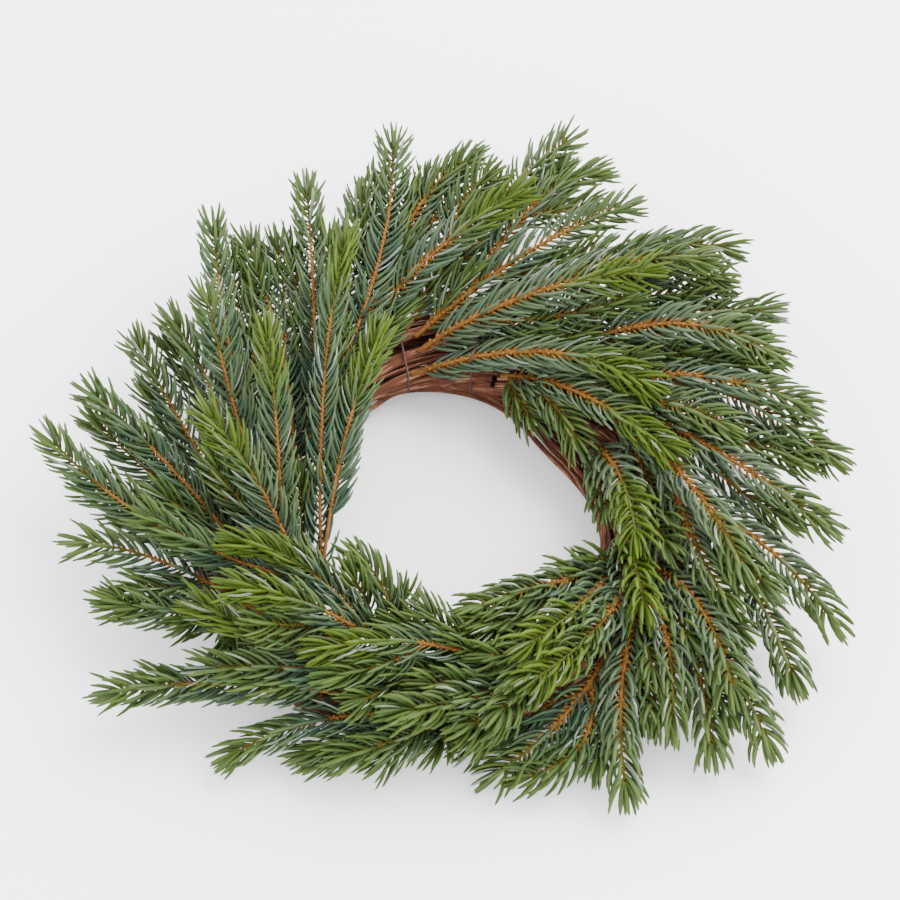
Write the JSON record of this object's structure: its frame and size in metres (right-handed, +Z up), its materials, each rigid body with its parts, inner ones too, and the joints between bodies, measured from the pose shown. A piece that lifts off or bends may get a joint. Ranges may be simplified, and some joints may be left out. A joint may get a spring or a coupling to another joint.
{
  "type": "fresh evergreen wreath",
  "caption": "Wreath of fresh spruce sprays bound with wire on a ring of twisted vines, lying flat with an open middle.",
  "frame": {"origin": "on the surface that the wreath lies on, under the middle of its whole outline", "axes": "+Z up, away from that surface; +X to the right and +Y away, seen by someone who looks down on it as in the picture"},
  "size_m": [0.504, 0.4978, 0.1008],
  "materials": {
    "vine_bark": "dry red-brown vine bark with paler fibres, matt",
    "stem_bark": "orange-brown twig bark, ridged between the needle pegs, matt",
    "binding_wire": "thin dark brown coated wire, slightly glossy",
    "green_needles": "dark blue-green waxy needles with paler lines, satin",
    "new_needles": "bright yellow-green waxy needles of new growth, satin"
  },
  "bodies": {
    "root": {"binding_wire_1": "binding_wire", "binding_wire_2": "binding_wire", "binding_wire_3": "binding_wire", "binding_wire_4": "binding_wire", "binding_wire_5": "binding_wire", "binding_wire_6": "binding_wire", "new_growth_left_2": "new_needles", "new_growth_left_2_side": "new_needles", "new_growth_left_5_side": "new_needles", "new_growth_left_8": "new_needles", "new_growth_lower_left_2": "new_needles", "new_growth_lower_left_2_side": "new_needles", "new_growth_lower_left_3": "new_needles", "new_growth_lower_left_4_side": "new_needles", "new_growth_lower_right_2": "new_needles", "new_growth_lower_right_3": "new_needles", "new_growth_lower_right_4": "new_needles", "new_growth_top_1": "new_needles", "new_growth_top_4_side": "new_needles", "new_growth_top_5": "new_needles", "new_growth_top_6": "new_needles", "spray_left_1": "green_needles", "spray_left_2": "green_needles", "spray_left_3": "green_needles", "spray_left_4": "green_needles", "spray_left_5": "green_needles", "spray_left_6": "green_needles", "spray_left_7": "green_needles", "spray_left_8": "green_needles", "spray_lower_left_1": "green_needles", "spray_lower_left_2": "green_needles", "spray_lower_left_3": "green_needles", "spray_lower_left_4": "green_needles", "spray_lower_left_5": "green_needles", "spray_lower_left_6": "green_needles", "spray_lower_right_1": "green_needles", "spray_lower_right_2": "green_needles", "spray_lower_right_3": "green_needles", "spray_lower_right_4": "green_needles", "spray_lower_right_5": "green_needles", "spray_lower_right_6": "green_needles", "spray_lower_right_7": "green_needles", "spray_lower_right_8": "green_needles", "spray_lower_right_9": "green_needles", "spray_right_1": "green_needles", "spray_right_2": "green_needles", "spray_right_3": "green_needles", "spray_right_4": "green_needles", "spray_right_5": "green_needles", "spray_top_1": "green_needles", "spray_top_2": "green_needles", "spray_top_3": "green_needles", "spray_top_4": "green_needles", "spray_top_5": "green_needles", "spray_top_6": "green_needles", "vine_1": "vine_bark", "vine_2": "vine_bark", "vine_3": "vine_bark", "vine_4": "vine_bark", "vine_5": "vine_bark"}
  },
  "joints": []
}
